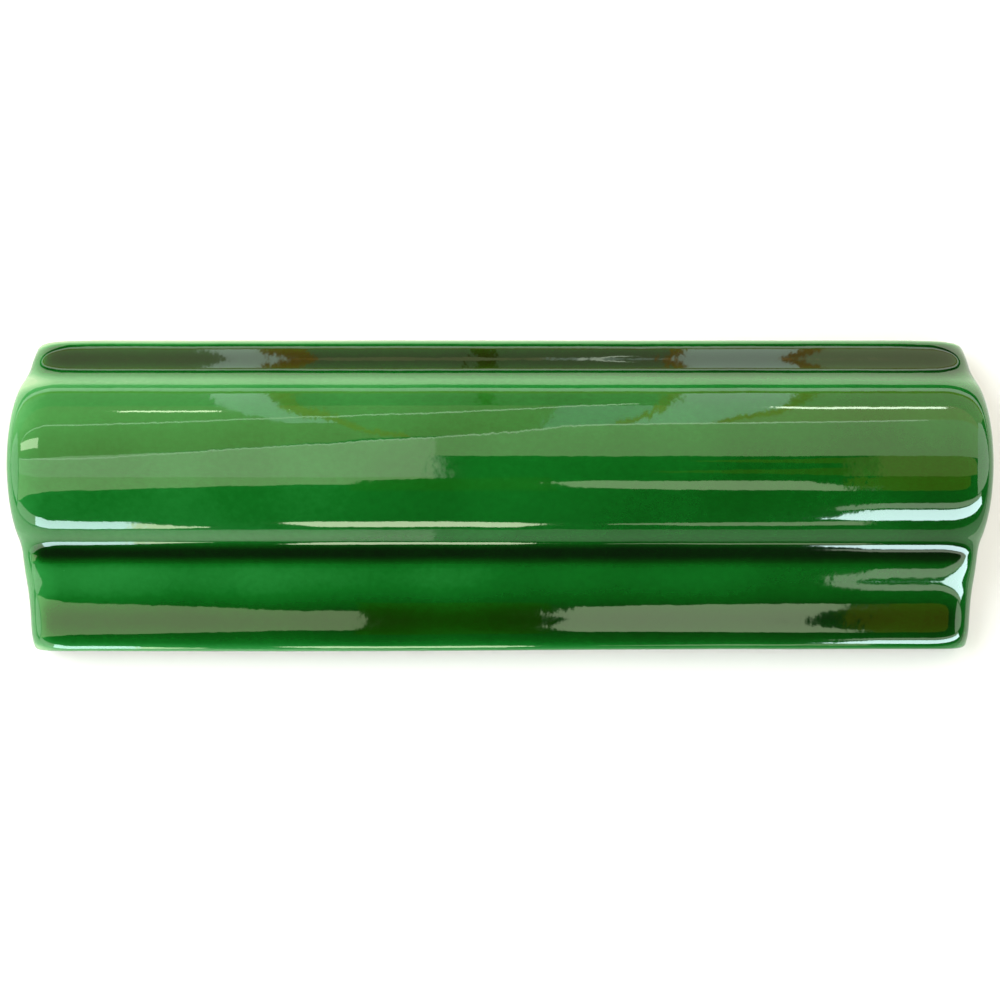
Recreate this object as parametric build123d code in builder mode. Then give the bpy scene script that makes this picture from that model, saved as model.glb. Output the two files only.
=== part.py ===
from build123d import *

import math
import os

# Glazed ceramic border tile: a dado moulding tile, pressed and fired as one piece.
# The tile lies on its back. +X runs along its length, +Y across it towards the thin upper lip,
# and +Z out of its face. The origin is the centre of the back. Millimetres and degrees.

# Overall size
tile_length = 152.4
tile_width = 50.8
crest_height = 21.0  # from the back to the top of the torus

# Torus, the big round of the face
torus_radius = 15.3
torus_setback = 20.4  # from the upper edge to the middle of the torus
upper_flank_angle = 56.0  # slope where the torus runs out into the flank
lower_flank_angle = 54.0  # slope where the torus runs out into the quirk

# Flank above the torus, which hollows out into the sloping lip of the upper edge
flank_reach = 4.3  # how far the torus's slope carries into the flank
lip_reach = 5.2  # how far the lip's slope carries back into it
lip_angle = 44.0  # slope at the lip's outer corner
lip_height = 7.3  # from the back to that corner
lip_radius = 3.2

# Quirk and shoulder below the torus, then the flange, hollow by the shoulder and rounded by the rim
quirk_radius = 6.0
quirk_angle = 21.6  # slope at the bottom of the quirk
shoulder_radius = 27.0
shoulder_angle = 31.4  # slope where the shoulder runs out into the flange
hollow_reach = 6.1  # how far the shoulder's slope carries into the flange
brow_reach = 4.2  # how far the rim's slope carries back into it
rim_angle = 46.0  # slope where the flange meets the rim
rim_height = 6.1  # from the back to the rim's outer corner
rim_radius = 1.0

# Ends, where the face rolls over and the corners draw in
end_radius = 3.6
corner_easing = 1.2
end_sections = 8

# Back, with stopped grooves that key it to the adhesive
back_chamfer = 0.5
groove_count = 4
groove_pitch = 10.5
groove_width = 4.0
groove_depth = 0.9
groove_draft = 20.0
groove_margin = 9.0  # from the end of the tile to the end of a groove


def moulding_section(along, drop=0.0, inset=0.0):
    """The tile's section at a distance along X, with its face lowered and its sides drawn in."""
    half_width = tile_width / 2 - inset
    torus_centre = Vector(tile_width / 2 - torus_setback, crest_height - torus_radius - drop)
    torus_sweep = upper_flank_angle + lower_flank_angle
    lip_corner = Vector(half_width, lip_height - drop)
    lip = Vector(-1, 0).rotate(Axis.Z, -lip_angle) * lip_reach
    rim_corner = Vector(-half_width, rim_height - drop)
    brow = Vector(1, 0).rotate(Axis.Z, rim_angle) * brow_reach

    with BuildSketch(Plane.YZ.offset(along)) as section:
        with BuildLine():
            torus = CenterArc(torus_centre, torus_radius, 90 - upper_flank_angle, torus_sweep)
            flank = torus @ 0 - torus % 0 * flank_reach
            Bezier(torus @ 0, flank, lip_corner + lip, lip_corner)
            quirk = JernArc(torus @ 1, torus % 1, quirk_radius, quirk_angle - lower_flank_angle)
            shoulder = JernArc(quirk @ 1, quirk % 1, shoulder_radius, shoulder_angle - quirk_angle)
            hollow = shoulder @ 1 + shoulder % 1 * hollow_reach
            Bezier(shoulder @ 1, hollow, rim_corner + brow, rim_corner)
            Polyline(rim_corner, (-half_width, 0), (half_width, 0), lip_corner)
        make_face()
        fillet(section.vertices().sort_by_distance(lip_corner)[0], lip_radius)
        fillet(section.vertices().sort_by_distance(rim_corner)[0], rim_radius)
    return section.sketch


with BuildPart() as border_tile:
    # One half: the straight run, then the end, where the section sinks along a quarter round
    straight_half = tile_length / 2 - end_radius
    extrude(moulding_section(0), amount=straight_half)
    end_stations = []
    for step in range(end_sections):
        turn = math.pi / 2 * step / (end_sections - 1)
        rolled = 1 - math.cos(turn)
        along = straight_half + end_radius * math.sin(turn)
        end_stations.append(moulding_section(along, end_radius * rolled, corner_easing * rolled**2))
    loft(end_stations)
    mirror(about=Plane.YZ)

    # The back: its eased edge, then the keying grooves
    chamfer(border_tile.faces().sort_by(Axis.Z)[0].edges(), back_chamfer)
    with BuildSketch(Plane.XY):
        with GridLocations(1, groove_pitch, 1, groove_count):
            SlotOverall(tile_length - 2 * groove_margin, groove_width)
    extrude(amount=groove_depth, taper=groove_draft, mode=Mode.SUBTRACT)

border_tile.part.label = "border_tile"

os.makedirs("parts", exist_ok=True)
export_step(border_tile.part, "parts/border_tile.step")
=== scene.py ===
import math

import bmesh
import bpy
import numpy as np
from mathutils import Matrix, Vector, noise


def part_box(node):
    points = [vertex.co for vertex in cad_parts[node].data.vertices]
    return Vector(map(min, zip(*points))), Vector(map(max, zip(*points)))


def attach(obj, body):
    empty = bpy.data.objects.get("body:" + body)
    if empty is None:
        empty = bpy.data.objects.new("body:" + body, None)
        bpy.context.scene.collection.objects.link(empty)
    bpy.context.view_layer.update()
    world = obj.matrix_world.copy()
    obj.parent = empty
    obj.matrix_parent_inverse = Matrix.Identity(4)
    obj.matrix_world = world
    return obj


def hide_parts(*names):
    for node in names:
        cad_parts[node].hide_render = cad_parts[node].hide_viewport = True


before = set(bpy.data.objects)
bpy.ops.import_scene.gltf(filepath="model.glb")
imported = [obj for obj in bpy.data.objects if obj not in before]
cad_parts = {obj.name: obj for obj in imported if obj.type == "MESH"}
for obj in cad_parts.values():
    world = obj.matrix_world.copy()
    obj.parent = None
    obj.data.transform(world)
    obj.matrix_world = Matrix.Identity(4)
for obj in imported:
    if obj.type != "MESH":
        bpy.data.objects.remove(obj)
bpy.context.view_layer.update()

# Glazed ceramic border tile, dressed for the camera: the same moulding as the solid, with the glaze's
# uneven skin, its pooling in the hollows and thinning on the edges, and the bare fired clay of the back.
# In the quirk the pooling is deepened as painted shade, and on the flank, the lip's outer corner and the rim
# the thinning is pushed further as painted reflection and highlights.
# The tile lies on its back, with +Y towards its lip. Its sizes are in millimetres and degrees until the
# mesh is made, and the studio's are in metres and degrees.

MM = 0.001
lowest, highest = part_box("border_tile")
tile_length = (highest.x - lowest.x) / MM
tile_width = (highest.y - lowest.y) / MM
crest_height = (highest.z - lowest.z) / MM

# Torus
torus_radius = 15.3
torus_setback = 20.4
upper_flank_angle = 56.0
lower_flank_angle = 54.0

# Flank and upper lip
flank_reach = 4.3
lip_reach = 5.2
lip_angle = 44.0
lip_height = 7.3
lip_radius = 3.2

# Quirk, shoulder and flange
quirk_radius = 6.0
quirk_angle = 21.6
shoulder_radius = 27.0
shoulder_angle = 31.4
hollow_reach = 6.1
brow_reach = 4.2
rim_angle = 46.0
rim_height = 6.1
rim_radius = 1.0

# Ends
end_radius = 3.6
end_run = 6.5  # the glaze carries the roll this far along the face
corner_easing = 1.2

# Back and its keying grooves
back_chamfer = 0.5
groove_count = 4
groove_pitch = 10.5
groove_width = 4.0
groove_depth = 0.9
groove_draft = 20.0
groove_margin = 9.0

# Steps of the mesh along the tile, then across it
straight_steps = 82
roll_steps = 22
side_steps = 10
lip_steps = 14
flank_steps = 32
torus_steps = 64
quirk_steps = 12
shoulder_steps = 6
flange_steps = 30
rim_steps = 12
groove_end_steps = 12
sharp_angle = 32.0

# Glaze thickness, in tenths of a millimetre: what it is on the torus, and where it gathers or runs thin,
# as (middle across the tile, spread, extra). The quirk's extra is partly painted shade, and the thinning
# of the flank, the lip's outer corner and the rim is partly painted reflection and highlights.
even_glaze = 1.33
rightward_glaze = 0.25  # extra at the right end, and as much less at the left
thinnest_glaze = 0.25
thickest_glaze = 2.8
glaze_and_painted_light_zones = (
    # partly the glaze's own thinning on the edge, partly a painted highlight along the arris
    (25.2, 0.7, -1.15),  # the lip's outer corner
    (21.6, 1.6, 1.3),  # the lip
    # partly the glaze's own thinning, partly a painted reflection of the floor beyond the lip
    (17.5, 1.3, -0.6),  # the flank
    (12.0, 4.0, -0.25),  # the upper side of the torus
    (-7.0, 0.9, -0.1),  # the torus's steep foot
    # partly the glaze's own pooling, partly painted shade in the recess under the torus
    (-9.7, 0.8, 1.9),  # the quirk
    (-13.4, 2.2, -0.15),  # the shoulder
    (-20.4, 2.0, 0.75),  # the flange's hollow
    # partly the glaze's own thinning on the edge, partly a painted highlight along the lower edge
    (-25.2, 0.7, -0.6),  # the rim
)
pool_end = 71.5  # how far along the tile the pools keep their depth
pool_fade = 3.0
roll_thinning = 0.45  # how much thinner it lies at the foot of a rolled end
patch_share = 0.10  # how much its thickness varies from patch to patch
patch_size = 14
patch_seed = 11

# The glaze gives out down the sides between these heights, and on the end faces at this share of the way in
side_covered = 3.0
side_bare = 0.8
end_face_steps = (0.02, 0.04, 0.07, 0.11)
end_face_bare = 0.07

# Waves of the glaze's skin, as (depth, size, seed), which only sink the face and fade out down the sides
skin_waves = (
    (0.050, 34, 3),
    (0.024, 9, 7),
)
wave_full = 5.0
wave_foot = 1.0

# Small departures from the straight section, as (middle across the tile, spread, turn): the flange's hollow
# and brow are evened out, and the lip is flatter along its middle
levelled = (
    (-20.4, 2.2, 0.025),
    (21.6, 1.3, 0.08),
)
lip_hinge = 19.0
lip_end_fall = 0.03  # how much steeper the lip gets at its ends
lip_end_start = 64.0
rim_bow = 0.35  # how far the rim draws in towards the right
rim_bow_start = -30.0
rim_bow_end = 40.0
rim_bow_top = 14.0  # how far below the tile's middle line the drawing in begins


def trim(radius, turn):
    """How much of each straight a rounded corner takes up."""
    return radius * math.tan(math.radians(turn) / 2)


def heading_vector(heading):
    return np.array([math.cos(heading), math.sin(heading)])


class Pen:
    """Draws the section across the tile, from the upper edge over the face to the lower edge."""

    def __init__(self, start, heading):
        self.points = [np.array(start)]
        self.heading = math.radians(heading)

    def run(self, length, steps):
        start = self.points[-1]
        for step in range(1, steps + 1):
            self.points.append(start + heading_vector(self.heading) * length * step / steps)

    def arc(self, radius, turn, steps):
        """A round with a positive turn, a hollow with a negative one."""
        quarter = math.copysign(math.pi / 2, turn)
        centre = self.points[-1] + radius * heading_vector(self.heading + quarter)
        for step in range(1, steps + 1):
            heading = self.heading + math.radians(turn) * step / steps
            self.points.append(centre - radius * heading_vector(heading + quarter))
        self.heading += math.radians(turn)

    def curve(self, first_reach, last_reach, end, end_heading, steps):
        """A cubic whose ends keep their headings for the reaches given."""
        start = self.points[-1]
        first = start + first_reach * heading_vector(self.heading)
        self.heading = math.radians(end_heading)
        last = end - last_reach * heading_vector(self.heading)
        for step in range(1, steps + 1):
            t = step / steps
            s = 1 - t
            self.points.append(s**3 * start + 3 * s * s * t * first + 3 * s * t * t * last + t**3 * end)


def section(drop, inset):
    """The section's points, with the face lowered by the drop and the sides drawn in by the inset."""
    half_width = tile_width / 2 - inset
    torus_centre = np.array([tile_width / 2 - torus_setback, crest_height - torus_radius - drop])
    torus_start = torus_centre + torus_radius * heading_vector(math.radians(90 - upper_flank_angle))
    lip_trim = trim(lip_radius, 90 - lip_angle)
    rim_trim = trim(rim_radius, 90 - rim_angle)
    rim_start = np.array([-half_width, rim_height - drop])
    rim_start += rim_trim * heading_vector(math.radians(rim_angle))

    pen = Pen((half_width, back_chamfer), 90)
    pen.run(lip_height - drop - lip_trim - back_chamfer, side_steps)
    pen.arc(lip_radius, 90 - lip_angle, lip_steps)
    pen.curve(lip_reach - lip_trim, flank_reach, torus_start, 180 - upper_flank_angle, flank_steps)
    pen.arc(torus_radius, upper_flank_angle + lower_flank_angle, torus_steps)
    pen.arc(quirk_radius, quirk_angle - lower_flank_angle, quirk_steps)
    pen.arc(shoulder_radius, shoulder_angle - quirk_angle, shoulder_steps)
    pen.curve(hollow_reach, brow_reach - rim_trim, rim_start, 180 + rim_angle, flange_steps)
    pen.arc(rim_radius, 90 - rim_angle, rim_steps)
    pen.run(rim_height - drop - rim_trim - back_chamfer, side_steps)
    return np.array(pen.points)


def stations():
    """Places along the tile as (x, drop, inset): the ends roll over along a drawn-out quarter round."""
    straight_half = tile_length / 2 - end_run
    half = [(x, 0.0, 0.0) for x in np.linspace(0, straight_half, straight_steps + 1)]
    for step in range(1, roll_steps + 1):
        turn = math.pi / 2 * step / roll_steps
        rolled = 1 - math.cos(turn)
        along = straight_half + end_run * math.sin(turn)
        half.append((along, end_radius * rolled, corner_easing * rolled**2))
    return [(-x, drop, inset) for x, drop, inset in half[:0:-1]] + half


def bell(place, middle, spread):
    return math.exp(-(((place - middle) / spread) ** 2) / 2)


def share(value, low, high):
    """How far the value is on its way from the low end to the high end, from 0 to 1."""
    return min(1, max(0, (value - low) / (high - low)))


def ease(value, low, high):
    """The same share, but setting off and arriving smoothly."""
    way = share(value, low, high)
    return way * way * (3 - 2 * way)


def unevenness(point, size, seed):
    """Smooth noise from -1 to 1 with lumps of about that size."""
    return noise.noise(Vector(point) / size + Vector((seed, -seed, 2 * seed)))


def laid_glaze_and_painted_light(x, y):
    """The glaze's thickness along and across the face, before the ends roll over, with its painted shade and
    highlights.
    """
    pooled = 1 - ease(abs(x), pool_end, pool_end + pool_fade)
    thickness = even_glaze + rightward_glaze * x / (tile_length / 2)
    for middle, spread, extra in glaze_and_painted_light_zones:
        thickness += extra * bell(y, middle, spread) * (pooled if extra > 0 else 1)
    return thickness


def fired_glaze(place, flat_y, drop):
    """The glaze's thickness at a point of the mesh, which lies at flat_y on the straight section, painted
    light included.
    """
    thickness = laid_glaze_and_painted_light(place[0], flat_y) - roll_thinning * math.sqrt(drop / end_radius)
    thickness *= 1 + patch_share * unevenness(place, patch_size, patch_seed)
    thickness = min(thickest_glaze, max(thinnest_glaze, thickness))
    return thickness * share(place[2] + drop, side_bare, side_covered)


def departure(x, y):
    """How far the face stands off its straight section."""
    lift = 0.0
    for middle, spread, turn in levelled:
        lift += turn * (y - middle) * bell(y, middle, spread)
    lip_fall = lip_end_fall * ease(abs(x), lip_end_start, tile_length / 2) * max(0, y - lip_hinge)
    return lift - lip_fall


def skin_height(place, flat_y):
    """How far the glaze's skin stands off the section, along its normal."""
    height = 0.0
    for depth, size, seed in skin_waves:
        height += depth * (unevenness(place, size, seed) - 1)
    height += departure(place[0], flat_y)
    return height * share(place[2], wave_foot, wave_full)


def outward(profile):
    """The section's normals."""
    along = np.gradient(profile, axis=0)
    along /= np.linalg.norm(along, axis=1)[:, None]
    return np.column_stack([along[:, 1], -along[:, 0]])


def face_points():
    """The rings of the glazed face, station by station, and the glaze's thickness at each point."""
    rings = []
    glaze = []
    flat_profile = section(0, 0)
    for x, drop, inset in stations():
        profile = section(drop, inset)
        bow = rim_bow * ease(x, rim_bow_start, rim_bow_end)
        ring = []
        for (y, z), (normal_y, normal_z), flat_y in zip(profile, outward(profile), flat_profile[:, 0]):
            place = (x, y, z)
            height = skin_height(place, flat_y)
            drawn_in = bow * ease(-flat_y, rim_bow_top, tile_width / 2)
            ring.append((x, y + normal_y * height + drawn_in, z + normal_z * height))
            glaze.append(fired_glaze(place, flat_y, drop))
        rings.append(ring)
    return np.array(rings), glaze


def groove_outline(middle, widening, height):
    """A groove's stadium outline, anticlockwise, widened or narrowed from its mouth."""
    radius = groove_width / 2 + widening
    straight = tile_length / 2 - groove_margin - groove_width / 2
    outline = []
    for end in (1, -1):
        for step in range(groove_end_steps + 1):
            turn = math.radians(180 * step / groove_end_steps - 90)
            x = end * (straight + radius * math.cos(turn))
            y = middle + end * radius * math.sin(turn)
            outline.append((x, y, height))
    return outline


def add_points(mesh, points):
    return [mesh.verts.new(Vector(point) * MM) for point in points]


def strip(mesh, first, second, turned=False):
    """A strip of faces between two open rows."""
    for here in range(len(first) - 1):
        quad = (first[here], second[here], second[here + 1], first[here + 1])
        mesh.faces.new(quad[::-1] if turned else quad)


def bridge(mesh, first, second):
    """A strip of faces between two closed loops."""
    for here in range(len(first)):
        there = (here + 1) % len(first)
        mesh.faces.new((first[here], first[there], second[there], second[here]))


def close_edges(mesh, loop):
    """The edges round a closed loop, made where there are none."""
    found = []
    for here in range(len(loop)):
        pair = (loop[here], loop[(here + 1) % len(loop)])
        found.append(mesh.edges.get(pair) or mesh.edges.new(pair))
    return found


def close_end(mesh, glaze_layer, row, turned):
    """An end face, stepping in towards the middle of its base. Returns its new points along the base."""
    base = Vector((row[0].co.x, 0, back_chamfer * MM))
    upper_feet = []
    lower_feet = []
    outer = row
    for way_in in end_face_steps:
        inner = [mesh.verts.new(base + (vert.co - base) * (1 - way_in)) for vert in row]
        for vert, edge in zip(inner, row):
            vert[glaze_layer] = edge[glaze_layer] * max(0, 1 - way_in / end_face_bare)
        strip(mesh, outer, inner, turned)
        upper_feet.append(inner[0])
        lower_feet.append(inner[-1])
        outer = inner
    mesh.faces.new(outer[::-1] if turned else outer)
    return upper_feet, lower_feet


def close_back(mesh, foot):
    """The back: an eased edge round the tile's foot, then the flat with its grooves."""
    flat = []
    for vert in foot:
        x = vert.co.x * (1 - 2 * back_chamfer / tile_length)
        y = vert.co.y * (1 - 2 * back_chamfer / tile_width)
        flat.append(mesh.verts.new((x, y, 0)))
    bridge(mesh, foot, flat)
    edges = close_edges(mesh, flat)
    narrowing = groove_depth * math.tan(math.radians(groove_draft))
    for index in range(groove_count):
        middle = groove_pitch * (index - (groove_count - 1) / 2)
        mouth = add_points(mesh, groove_outline(middle, 0, 0))
        bed = add_points(mesh, groove_outline(middle, -narrowing, groove_depth))
        bridge(mesh, mouth, bed)
        mesh.faces.new(bed)
        edges += close_edges(mesh, mouth)
    bmesh.ops.triangle_fill(mesh, use_beauty=True, edges=edges)


def tile_mesh():
    """The tile's closed mesh, with the glaze thickness stored on its points."""
    rings, glaze = face_points()
    mesh = bmesh.new()
    glaze_layer = mesh.verts.layers.float.new("glaze")
    rows = [add_points(mesh, ring) for ring in rings]
    for vert, thickness in zip((vert for row in rows for vert in row), glaze):
        vert[glaze_layer] = thickness
    for row, after in zip(rows, rows[1:]):
        strip(mesh, row, after)
    left_upper, left_lower = close_end(mesh, glaze_layer, rows[0], True)
    right_upper, right_lower = close_end(mesh, glaze_layer, rows[-1], False)

    foot = [row[0] for row in rows]
    foot += right_upper + right_lower[::-1]
    foot += [row[-1] for row in rows[::-1]]
    foot += left_lower + left_upper[::-1]
    close_back(mesh, foot)
    bmesh.ops.recalc_face_normals(mesh, faces=mesh.faces)

    data = bpy.data.meshes.new("border_tile_skin")
    mesh.to_mesh(data)
    mesh.free()
    data.shade_smooth()
    data.set_sharp_from_angle(angle=math.radians(sharp_angle))
    return data


class Nodes:
    """Adds nodes to a shader and joins them."""

    def __init__(self, owner):
        owner.use_nodes = True
        self.tree = owner.node_tree
        self.tree.nodes.clear()

    def add(self, kind, inputs=None, **settings):
        node = self.tree.nodes.new(kind)
        for name, value in settings.items():
            setattr(node, name, value)
        for name, value in (inputs or {}).items():
            self.put(node.inputs[name], value)
        return node

    def put(self, socket, value):
        if isinstance(value, bpy.types.NodeSocket):
            self.tree.links.new(value, socket)
        else:
            socket.default_value = value

    def work_out(self, operation, *values):
        node = self.add("ShaderNodeMath", operation=operation)
        for socket, value in zip(node.inputs, values):
            self.put(socket, value)
        return node.outputs[0]

    def plus(self, first, second):
        return self.work_out("ADD", first, second)

    def times(self, first, second):
        return self.work_out("MULTIPLY", first, second)

    def spread(self, value, low, high, new_low, new_high):
        """Maps one range of values smoothly on to another."""
        names = ("Value", "From Min", "From Max", "To Min", "To Max")
        inputs = dict(zip(names, (value, low, high, new_low, new_high)))
        return self.add("ShaderNodeMapRange", inputs, interpolation_type="SMOOTHSTEP").outputs[0]

    def noise(self, place, scale, detail, roughness):
        inputs = {"Vector": place, "Scale": scale, "Detail": detail, "Roughness": roughness}
        return self.add("ShaderNodeTexNoise", inputs).outputs["Fac"]


# Clay and glaze: colours, and the depths at which the glaze's colour is worked out
clay_colour = np.array([0.62, 0.50, 0.36])
glaze_absorption = np.array([5.1, 1.6, 3.5])
glaze_depths = (0.0, 0.12, 0.28, 0.5, 0.8, 1.2, 1.5, 1.9, 2.4, 3.0)
glaze_index = 1.65
glaze_tint = (0.85, 1.0, 0.75, 1)

# Noises, as (scale, detail, roughness), and how much each one does
clouds = (90, 3, 0.5)
cloud_effect = 0.18
mottle = (1000, 4, 0.6)
mottle_effect = 0.22
steady_share = 0.80  # the share of its thickness that clouds and mottling leave alone
grain = (2600, 5, 0.7)
grain_effect = 0.32
clay_base_shade = 0.58
speckle = (1400, 2, 0.5)
speckle_range = (0.62, 0.72)
speckle_effect = 0.22
ripples = ((240, 2, 0.5), (560, 2, 0.5))
ripple_effects = (0.038, 0.020)
bump_strength = 0.35
bump_distance = 0.001

# Pinholes, one in the middle of some cells
pinhole_scale = 160
pinhole_rarity = 0.80  # the share of cells that have none
pinhole_size = (0.010, 0.028)
pinhole_depth = 0.55

# Where bare clay turns into glaze: the range of thickness that each change takes, and what changes
covered_range = (0.05, 0.13)
gloss_range = (0.05, 0.30)
smooth_range = (0.05, 0.2)
clay_roughness = 0.82
glaze_roughness = 0.045
clay_relief = 0.10


def uneven_glaze(nodes, place):
    """The stored thickness, changed by clouds, fine mottling and pinholes."""
    # the stored thickness holds painted shade in the quirk, and painted reflection and highlights on the
    # flank, the lip's corner and the rim
    stored = nodes.add("ShaderNodeAttribute", attribute_name="glaze").outputs["Fac"]
    clouded = nodes.times(nodes.noise(place, *clouds), cloud_effect)
    mottled = nodes.times(nodes.noise(place, *mottle), mottle_effect)
    uneven = nodes.plus(nodes.plus(clouded, mottled), steady_share)
    cells = nodes.add("ShaderNodeTexVoronoi", {"Vector": place, "Scale": pinhole_scale, "Randomness": 1.0})
    lots = nodes.add("ShaderNodeSeparateColor", {"Color": cells.outputs["Color"]})
    chosen = nodes.work_out("GREATER_THAN", lots.outputs[0], pinhole_rarity)
    pinhole = nodes.times(nodes.spread(cells.outputs["Distance"], *pinhole_size, 1, 0), chosen)
    left_over = nodes.work_out("SUBTRACT", 1.0, nodes.times(pinhole, pinhole_depth))
    return nodes.times(nodes.times(stored, uneven), left_over)


def glaze_ramp(nodes, thickness):
    """The colour of the clay seen through that much glaze."""
    deepest = glaze_depths[-1]
    node = nodes.add("ShaderNodeValToRGB", {"Fac": nodes.work_out("DIVIDE", thickness, deepest)})
    elements = node.color_ramp.elements
    while len(elements) < len(glaze_depths):
        elements.new(1.0)
    for element, depth in zip(elements, glaze_depths):
        element.position = depth / deepest
        element.color = (*(clay_colour * np.exp(-glaze_absorption * depth)), 1)
    return node.outputs["Color"]


def surface_colour(nodes, place, thickness, sand):
    """Green where the glaze lies, and sandy, speckled clay where it has given out."""
    covered = nodes.spread(thickness, *covered_range, 0, 1)
    colour = glaze_ramp(nodes, nodes.times(thickness, covered))
    specks = nodes.spread(nodes.noise(place, *speckle), *speckle_range, 0, 1)
    clay_shade = nodes.plus(clay_base_shade, nodes.times(sand, grain_effect))
    clay_shade = nodes.work_out("SUBTRACT", clay_shade, nodes.times(specks, speckle_effect))
    shade = nodes.add("ShaderNodeMix", {"Factor": covered, "A": clay_shade, "B": 1.0}).outputs[0]
    tinted = nodes.add("ShaderNodeVectorMath", {0: colour, "Scale": shade}, operation="SCALE")
    return tinted.outputs[0]


def surface_relief(nodes, place, thickness, sand):
    """Grain on the clay, and faint ripples all over."""
    relief = nodes.times(sand, nodes.spread(thickness, *smooth_range, clay_relief, 0.0))
    for ripple, effect in zip(ripples, ripple_effects):
        relief = nodes.plus(relief, nodes.times(nodes.noise(place, *ripple), effect))
    inputs = {"Height": relief, "Strength": bump_strength, "Distance": bump_distance}
    return nodes.add("ShaderNodeBump", inputs).outputs[0]


def green_glaze():
    """Copper-green glaze over buff clay, deeper where it lies thicker, and bare clay where there is none."""
    material = bpy.data.materials.new("green_glaze")
    nodes = Nodes(material)
    place = nodes.add("ShaderNodeTexCoord").outputs["Object"]
    thickness = uneven_glaze(nodes, place)
    sand = nodes.noise(place, *grain)
    shader = nodes.add("ShaderNodeBsdfPrincipled", {
        "Base Color": surface_colour(nodes, place, thickness, sand),
        "Roughness": nodes.spread(thickness, *gloss_range, clay_roughness, glaze_roughness),
        "Normal": surface_relief(nodes, place, thickness, sand),
        "IOR": glaze_index,
        "Specular Tint": glaze_tint,
    })
    nodes.add("ShaderNodeOutputMaterial", {"Surface": shader.outputs[0]})
    return material


def make_tile():
    tile = bpy.data.objects.new("border_tile_glazed", tile_mesh())
    bpy.context.scene.collection.objects.link(tile)
    tile.data.materials.append(green_glaze())
    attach(tile, "root")
    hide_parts("border_tile")


# The studio: soft bands of light round the tile. A band is a row of stations, each (across, low, high).
# Overhead these are degrees towards +X, then from straight up towards +Y. On the wall beyond the lip they
# are the azimuth from +Y towards +X, then the elevation.
studio_distance = 1.5
nearer_distance = 1.15
key_distance = 0.65
band_steps = 6

# Colours of the light
white = (1, 1, 1)
cool = (0.90, 0.97, 1.0)
daylight = (0.94, 0.98, 1)
sky = (0.66, 0.76, 1.0)
warm = (1.0, 0.96, 0.86)
cream = (1, 0.98, 0.88)
pale_lime = (0.95, 1, 0.82)
lime = (0.98, 1, 0.76)
deep_lime = (0.95, 1, 0.74)
drab = (0.94, 0.95, 0.66)
buff = (1.0, 0.84, 0.58)
wood = (1.0, 0.40, 0.10)
olive = (0.9, 0.62, 0.08)
moss = (0.9, 0.72, 0.30)

# Wall: the height of its darker foot, and where it meets the ceiling
wall_foot = 20
cornice_azimuths = (-86, -54, -29, -2, 6, 20, 28, 60)
cornice_elevations = (70, 72.5, 70, 59, 47.5, 41.5, 36.5, 32)
zone_stations = 5
zenith = 90  # a zone that reaches for this ends at the cornice

# Ceiling: the lean where its lower left part begins, and where the beam's upper edge lies
ceiling_turn = -20
beam_edge = 5

# Strips of floor along the tile, that only the glaze's reflections see
strip_reach = 1.5
strip_height = 0.0004

# Floor, world and camera
floor_reach = 0.9
floor_height = -0.0002
floor_colour = (0.66, 0.66, 0.66, 1)
floor_roughness = 0.9
world_colour = (1, 1, 1, 1)
dark_world = 0.06
pale_world = 0.95
camera_lens = 49.72
camera_sensor = 36
camera_place = (0, -15.24, 230)  # in millimetres
camera_tilt = 3.68
camera_clip = 0.01


def overhead(side, lean):
    side = math.radians(side)
    lean = math.radians(lean)
    return Vector((math.sin(side), math.cos(side) * math.sin(lean), math.cos(side) * math.cos(lean)))


def on_wall(azimuth, elevation):
    azimuth = math.radians(azimuth)
    elevation = math.radians(elevation)
    level = math.cos(elevation)
    return Vector((level * math.sin(azimuth), level * math.cos(azimuth), math.sin(elevation)))


def emission(name, colour, strength):
    material = bpy.data.materials.new(name)
    nodes = Nodes(material)
    light = nodes.add("ShaderNodeEmission", {"Color": (*colour, 1), "Strength": strength})
    nodes.add("ShaderNodeOutputMaterial", {"Surface": light.outputs[0]})
    return material


def card(name, points, faces, strength, colour):
    """A glowing card, hidden from the camera."""
    data = bpy.data.meshes.new(name)
    data.from_pydata(points, [], faces)
    data.materials.append(emission(name, colour, strength))
    made = bpy.data.objects.new(name, data)
    bpy.context.scene.collection.objects.link(made)
    made.visible_camera = False
    return made


def band(name, direction, stations, strength, colour=white, distance=studio_distance):
    points = []
    faces = []
    for index, (across, low, high) in enumerate(stations):
        for step in range(band_steps + 1):
            points.append(direction(across, low + (high - low) * step / band_steps) * distance)
            if index and step:
                here = len(points) - 1
                before = here - band_steps - 1
                faces.append((before - 1, here - 1, here, before))
    return card(name, points, faces, strength, colour)


def line(name, places, width, strength, colour=white):
    """A thin overhead line through places, each (side, lean)."""
    stations = [(side, lean - width / 2, lean + width / 2) for side, lean in places]
    band(name, overhead, stations, strength, colour, nearer_distance)


def floor_strip(name, near, far, strength, colour, near_left=-strip_reach, far_left=-strip_reach):
    points = [
        (near_left, near, strip_height),
        (strip_reach, near, strip_height),
        (strip_reach, far, strip_height),
        (far_left, far, strip_height),
    ]
    made = card(name, points, [(0, 1, 2, 3)], strength, colour)
    made.visible_diffuse = False
    made.visible_shadow = False


def wall_zone(name, left, right, bottom, top, strength, colour):
    stations = []
    for azimuth in np.linspace(left, right, zone_stations):
        cornice = float(np.interp(azimuth, cornice_azimuths, cornice_elevations))
        stations.append((azimuth, bottom, min(top, cornice)))
    band(name, on_wall, stations, strength, colour)


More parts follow.
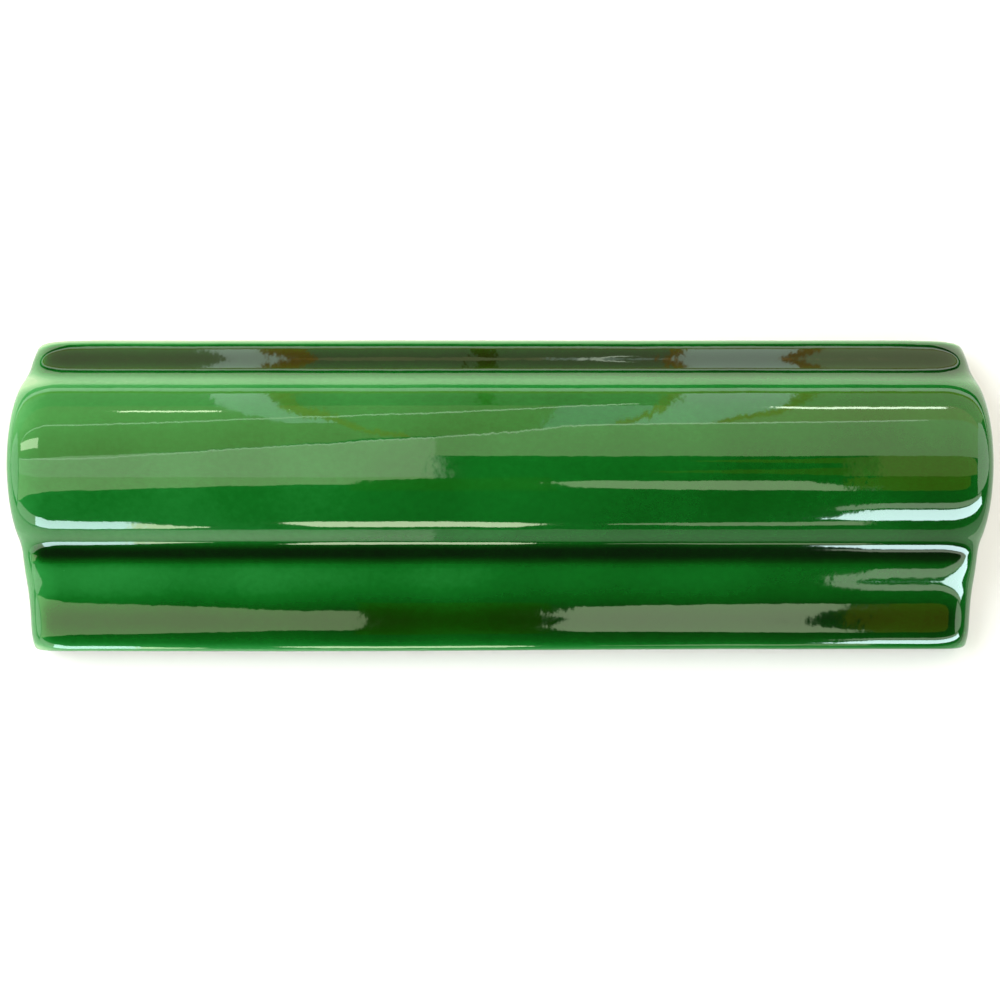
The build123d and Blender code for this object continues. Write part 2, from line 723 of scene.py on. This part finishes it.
def make_wall():
    """The wall beyond the lip, drab, with panes between wooden frames."""
    wall_zone("wall_left_foot", -86, -13.7, 0, wall_foot, 0.90, drab)
    wall_zone("wall_left", -86, -13.7, wall_foot, zenith, 1.25, buff)
    wall_zone("pane_left", -13.7, -10.9, 0, 44, 2.6, cool)
    wall_zone("pane_left_top", -13.7, -10.9, 44, zenith, 1.25, buff)
    wall_zone("wall_middle_foot", -9.4, -1.3, 0, wall_foot, 0.65, drab)
    wall_zone("wall_middle", -9.4, 2.9, wall_foot, zenith, 1.1, buff)
    wall_zone("post", -1.3, -0.3, 0, wall_foot, 0.30, wood)
    wall_zone("pane_middle_foot", -0.3, 7.6, 0, wall_foot, 0.65, drab)
    wall_zone("pane_middle", 2.9, 7.6, wall_foot, zenith, 1.7, cool)
    wall_zone("pane_right", 8.5, 13.8, 0, zenith, 2.4, cool)
    wall_zone("wall_right_foot", 14.8, 60, 0, wall_foot, 1.25, drab)
    wall_zone("wall_right", 14.8, 60, wall_foot, zenith, 1.7, buff)
    frames = (("frame_left", -10.9, -9.4), ("frame_middle", 7.6, 8.5), ("frame_right", 13.8, 14.8))
    for name, left, right in frames:
        wall_zone(name + "_foot", left, right, 0, wall_foot, 1.0, wood)
        wall_zone(name, left, right, wall_foot, zenith, 1.5, wood)
    rail = [(-58, 28), (-45, 38.5), (-26, 41.5), (-19, 43), (-13.5, 49), (-7, 55), (-1, 62), (6.4, 72.5)]
    line("rail", rail, 1.4, 4.0)
    line("lamp_left", [(-17.8, 61.2), (-16, 61.6), (-13.4, 61.6)], 1.9, 12, warm)
    line("lamp_right", [(13, 66.4), (15, 66.2), (20.7, 65.8)], 2.6, 14)


def make_ceiling():
    """The pale ceiling, cut off by the dark above the camera."""
    left_tops = [(-62, 7), (-50, 3.5), (-38, 2), (-27, 1), (-21.6, 2), (-14, 10.5), (-9.4, 17.5), (-3.5, 27)]
    left_feet = [(-62, -72), (-56, -62), (-51, -54), (-44, -47), (-36, -43), (-27, -40), (-21.6, -38),
                 (-14, -32), (-9.4, -28.5), (-6.6, -29), (-5.7, -23.5), (-3.5, -22)]
    right_tops = [(-3.5, 27), (-1, 31), (4, 42.5), (15.2, 46.5), (18.3, 49), (26, 50), (60, 52)]
    edge = [(-60, 6), (-40, 2), (-22.5, 2), (-19.6, 1.5), (-14, 10.5), (-9.4, 17.5), (-1, 31), (4, 42.5),
            (15.2, 46.5), (20, 49)]
    left = [(side, ceiling_turn, top) for side, top in left_tops]
    left_low = [(side, foot, ceiling_turn) for side, foot in left_feet]
    right = [(side, beam_edge, top) for side, top in right_tops]
    band("ceiling_left", overhead, left, 2.65, cream)
    band("ceiling_left_low", overhead, left_low, 2.2, deep_lime)
    band("ceiling_fade", overhead, [(-3.5, -22, beam_edge), (-3.1, -21, beam_edge)], 1.6)
    band("ceiling_fading", overhead, [(-3.1, -21, beam_edge), (-2.7, -20, beam_edge)], 0.8)
    band("ceiling_right", overhead, right, 1.75, lime)
    line("ceiling_edge", edge, 1.5, 4.2)
    low = [(2.2, -27, -26), (3, -31, -25), (4, -33, -24), (10, -35, -24), (14, -36, -25), (16.4, -36, -31)]
    band("ceiling_low", overhead, low, 2.8, pale_lime)


def make_beam():
    """The darker forms across the ceiling's right side."""
    gap = [(-6.6, -36, -29), (-5.7, -36, -23.5), (-3.5, -36, -22), (2.2, -36, -20)]
    beam = [(17, -19, beam_edge), (40, -19, beam_edge), (47, -19, 3), (52, -19, -4)]
    foot = [(16.4, -30, -22), (17, -36, -19), (34, -36, -19), (40, -32, -20)]
    band("gap", overhead, gap, 0.12, olive)
    band("beam", overhead, beam, 1.1, moss)
    band("beam_fade", overhead, [(16.2, -19, 3), (17, -19, beam_edge)], 0.6, moss)
    band("beam_foot", overhead, foot, 0.55, olive)
    band("beam_upper", overhead, [(9, -1.5, -0.5), (13, -3, 1), (16.2, -4, 3)], 0.35, olive)
    band("beam_lower", overhead, [(7, -13.5, -13), (12, -16, -11), (16.2, -18, -9)], 0.30, olive)


def make_near_side():
    """Low on the camera's side: bright strips."""
    corner = [(-62, -89, -72), (-56, -89, -66), (-46, -89, -69), (-33, -89, -73)]
    left = [(-10, -81, -78.5), (-8, -86, -77.5), (0.5, -86, -78.5), (2, -83, -81)]
    band("strip_far_left", overhead, [(-33, -88, -74), (-27, -89, -73), (-16.8, -89, -78)], 12, sky)
    band("corner_left", overhead, corner, 2.0)
    band("strip_cream", overhead, [(-16.8, -89, -80), (-14.8, -88, -84), (-13.6, -87, -86)], 7, warm)
    band("strip_left", overhead, left, 7.5, warm)
    band("strip_thin", overhead, [(5, -82, -81), (10, -84, -79), (17, -83, -77)], 2.2, warm)
    band("strip_right", overhead, [(15, -74, -72.5), (17, -76, -61), (60, -76, -59)], 16, sky)
    band("strip_over", overhead, [(15.5, -62, -58), (17, -59, -52), (60, -59, -52)], 2.4)


def make_sides():
    """What the rolled ends mirror."""
    left = [(-88, -80, 70), (-75, -80, 70), (-63, -78, 60)]
    right = [(53, -50, 62), (60, -50, 70), (88, -50, 70)]
    band("side_left", overhead, left, 2.3, white, nearer_distance)
    band("side_left_pane", overhead, [(-57, 17, 30), (-27, 15, 28)], 7, warm, nearer_distance)
    band("side_right", overhead, right, 2.2, white, nearer_distance)


def make_key():
    """The light that the tile is lit by, which it does not mirror."""
    key = band("key", overhead, [(-50, -8, 50), (-38, -8, 52), (-26, -8, 52)], 9.8, daylight, key_distance)
    key.visible_glossy = False


def make_floor_strips():
    """The floor beyond the lip and on the camera's side, as the glaze mirrors it."""
    floor_strip("pale_floor_near", 0.027, 0.062, 1.5, warm)
    floor_strip("dark_line", 0.062, 0.098, 0.02, white)
    floor_strip("pale_floor_far", 0.098, 0.220, 1.9, white)
    floor_strip("olive_line", 0.220, 1.4, 0.8, olive)
    floor_strip("dim_floor", -0.04, -1.4, 0.6, white, -0.012, -0.08)


def make_lights():
    make_wall()
    make_ceiling()
    make_beam()
    make_near_side()
    make_sides()
    make_key()
    make_floor_strips()


def make_world():
    """Dark for the light and the reflections, pale where the camera looks past the floor."""
    world = bpy.data.worlds.new("studio")
    bpy.context.scene.world = world
    nodes = Nodes(world)
    seen = nodes.add("ShaderNodeLightPath").outputs["Is Camera Ray"]
    dark = nodes.add("ShaderNodeBackground", {"Color": world_colour, "Strength": dark_world})
    pale = nodes.add("ShaderNodeBackground", {"Color": world_colour, "Strength": pale_world})
    mixed = nodes.add("ShaderNodeMixShader", {0: seen, 1: dark.outputs[0], 2: pale.outputs[0]})
    nodes.add("ShaderNodeOutputWorld", {"Surface": mixed.outputs[0]})


def make_floor():
    """The plain pale floor."""
    data = bpy.data.meshes.new("floor")
    corners = ((-1, -1), (1, -1), (1, 1), (-1, 1))
    points = [(x * floor_reach, y * floor_reach, floor_height) for x, y in corners]
    data.from_pydata(points, [], [(0, 1, 2, 3)])
    floor = bpy.data.objects.new("floor", data)
    bpy.context.scene.collection.objects.link(floor)
    material = bpy.data.materials.new("pale_floor")
    nodes = Nodes(material)
    inputs = {"Base Color": floor_colour, "Roughness": floor_roughness}
    shader = nodes.add("ShaderNodeBsdfPrincipled", inputs)
    nodes.add("ShaderNodeOutputMaterial", {"Surface": shader.outputs[0]})
    data.materials.append(material)


def make_camera():
    data = bpy.data.cameras.new("camera")
    data.lens = camera_lens
    data.sensor_width = camera_sensor
    data.clip_start = camera_clip
    camera = bpy.data.objects.new("camera", data)
    camera.location = Vector(camera_place) * MM
    camera.rotation_euler = (math.radians(camera_tilt), 0, 0)
    bpy.context.scene.collection.objects.link(camera)
    bpy.context.scene.camera = camera


make_camera()
make_tile()
make_floor()
make_lights()
make_world()
bpy.context.scene.view_settings.view_transform = "Standard"
